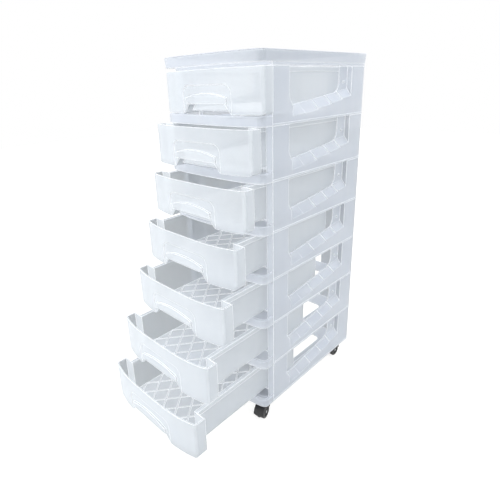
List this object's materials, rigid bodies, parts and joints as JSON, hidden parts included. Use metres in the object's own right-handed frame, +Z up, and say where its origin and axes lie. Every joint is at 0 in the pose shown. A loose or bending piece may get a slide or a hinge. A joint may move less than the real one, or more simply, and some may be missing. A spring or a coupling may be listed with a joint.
{
  "type": "drawer tower",
  "caption": "Tall narrow tower of stacked translucent drawers with bowed fronts and finger grips, in an open-sided frame on swivel castors.",
  "frame": {"origin": "middle of the footprint at floor level, with the drawers standing open as in the picture", "axes": "+Z up, -Y towards the drawer fronts, +X to the right seen from the front"},
  "size_m": [0.292, 0.6146, 0.856],
  "materials": {
    "frame_plastic": "frosted translucent, satin",
    "drawer_plastic": "frosted translucent, fine grain",
    "castor_plastic": "black satin",
    "castor_steel": "zinc plated"
  },
  "bodies": {
    "frame": {"shelf_1": "frame_plastic", "side_right_1": "frame_plastic", "side_left_1": "frame_plastic", "shelf_2": "frame_plastic", "side_right_2": "frame_plastic", "side_left_2": "frame_plastic", "shelf_3": "frame_plastic", "side_right_3": "frame_plastic", "side_left_3": "frame_plastic", "shelf_4": "frame_plastic", "side_right_4": "frame_plastic", "side_left_4": "frame_plastic", "shelf_5": "frame_plastic", "side_right_5": "frame_plastic", "side_left_5": "frame_plastic", "shelf_6": "frame_plastic", "side_right_6": "frame_plastic", "side_left_6": "frame_plastic", "shelf_7": "frame_plastic", "side_right_7": "frame_plastic", "side_left_7": "frame_plastic", "lid": "frame_plastic", "castor_front_left_plate": "castor_steel", "castor_front_right_plate": "castor_steel", "castor_rear_left_plate": "castor_steel", "castor_rear_right_plate": "castor_steel"},
    "drawer_1": {"drawer_1": "drawer_plastic"},
    "drawer_2": {"drawer_2": "drawer_plastic"},
    "drawer_3": {"drawer_3": "drawer_plastic"},
    "drawer_4": {"drawer_4": "drawer_plastic"},
    "drawer_5": {"drawer_5": "drawer_plastic"},
    "drawer_6": {"drawer_6": "drawer_plastic"},
    "drawer_7": {"drawer_7": "drawer_plastic"},
    "castor_front_left_swivel": {"castor_front_left_hood": "castor_plastic"},
    "castor_front_left_wheels": {"castor_front_left_axle": "castor_steel", "castor_front_left_wheel_a": "castor_plastic", "castor_front_left_wheel_b": "castor_plastic"},
    "castor_front_right_swivel": {"castor_front_right_hood": "castor_plastic"},
    "castor_front_right_wheels": {"castor_front_right_axle": "castor_steel", "castor_front_right_wheel_a": "castor_plastic", "castor_front_right_wheel_b": "castor_plastic"},
    "castor_rear_left_swivel": {"castor_rear_left_hood": "castor_plastic"},
    "castor_rear_left_wheels": {"castor_rear_left_axle": "castor_steel", "castor_rear_left_wheel_a": "castor_plastic", "castor_rear_left_wheel_b": "castor_plastic"},
    "castor_rear_right_swivel": {"castor_rear_right_hood": "castor_plastic"},
    "castor_rear_right_wheels": {"castor_rear_right_axle": "castor_steel", "castor_rear_right_wheel_a": "castor_plastic", "castor_rear_right_wheel_b": "castor_plastic"}
  },
  "joints": [
    {"name": "drawer_1_slide", "type": "slide", "parent": "frame", "child": "drawer_1", "axis": [0, -1, 0], "range_m": [-0.219, 0.031]},
    {"name": "drawer_2_slide", "type": "slide", "parent": "frame", "child": "drawer_2", "axis": [0, -1, 0], "range_m": [-0.179, 0.071]},
    {"name": "drawer_3_slide", "type": "slide", "parent": "frame", "child": "drawer_3", "axis": [0, -1, 0], "range_m": [-0.129, 0.121]},
    {"name": "drawer_4_slide", "type": "slide", "parent": "frame", "child": "drawer_4", "axis": [0, -1, 0], "range_m": [-0.089, 0.161]},
    {"name": "drawer_5_slide", "type": "slide", "parent": "frame", "child": "drawer_5", "axis": [0, -1, 0], "range_m": [-0.059, 0.191]},
    {"name": "drawer_6_slide", "type": "slide", "parent": "frame", "child": "drawer_6", "axis": [0, -1, 0], "range_m": [-0.037, 0.213]},
    {"name": "drawer_7_slide", "type": "slide", "parent": "frame", "child": "drawer_7", "axis": [0, -1, 0], "range_m": [0, 0.25]},
    {"name": "castor_front_left_turn", "type": "hinge", "parent": "frame", "child": "castor_front_left_swivel", "pos_m": [-0.108, -0.03637, 0.048], "axis": [0, 0, 1], "continuous": true},
    {"name": "castor_front_left_roll", "type": "hinge", "parent": "castor_front_left_swivel", "child": "castor_front_left_wheels", "pos_m": [-0.10496, -0.0536, 0.0175], "axis": [0.9848, 0.1736, 0], "continuous": true},
    {"name": "castor_front_right_turn", "type": "hinge", "parent": "frame", "child": "castor_front_right_swivel", "pos_m": [0.108, -0.03637, 0.048], "axis": [0, 0, 1], "continuous": true},
    {"name": "castor_front_right_roll", "type": "hinge", "parent": "castor_front_right_swivel", "child": "castor_front_right_wheels", "pos_m": [0.11253, -0.05327, 0.0175], "axis": [0.9659, 0.2588, 0], "continuous": true},
    {"name": "castor_rear_left_turn", "type": "hinge", "parent": "frame", "child": "castor_rear_left_swivel", "pos_m": [-0.108, 0.26363, 0.048], "axis": [0, 0, 1], "continuous": true},
    {"name": "castor_rear_left_roll", "type": "hinge", "parent": "castor_rear_left_swivel", "child": "castor_rear_left_wheels", "pos_m": [-0.09156, 0.25765, 0.0175], "axis": [0.342, 0.9397, 0], "continuous": true},
    {"name": "castor_rear_right_turn", "type": "hinge", "parent": "frame", "child": "castor_rear_right_swivel", "pos_m": [0.108, 0.26363, 0.048], "axis": [0, 0, 1], "continuous": true},
    {"name": "castor_rear_right_roll", "type": "hinge", "parent": "castor_rear_right_swivel", "child": "castor_rear_right_wheels", "pos_m": [0.108, 0.28113, 0.0175], "axis": [-1, 0, 0], "continuous": true}
  ]
}
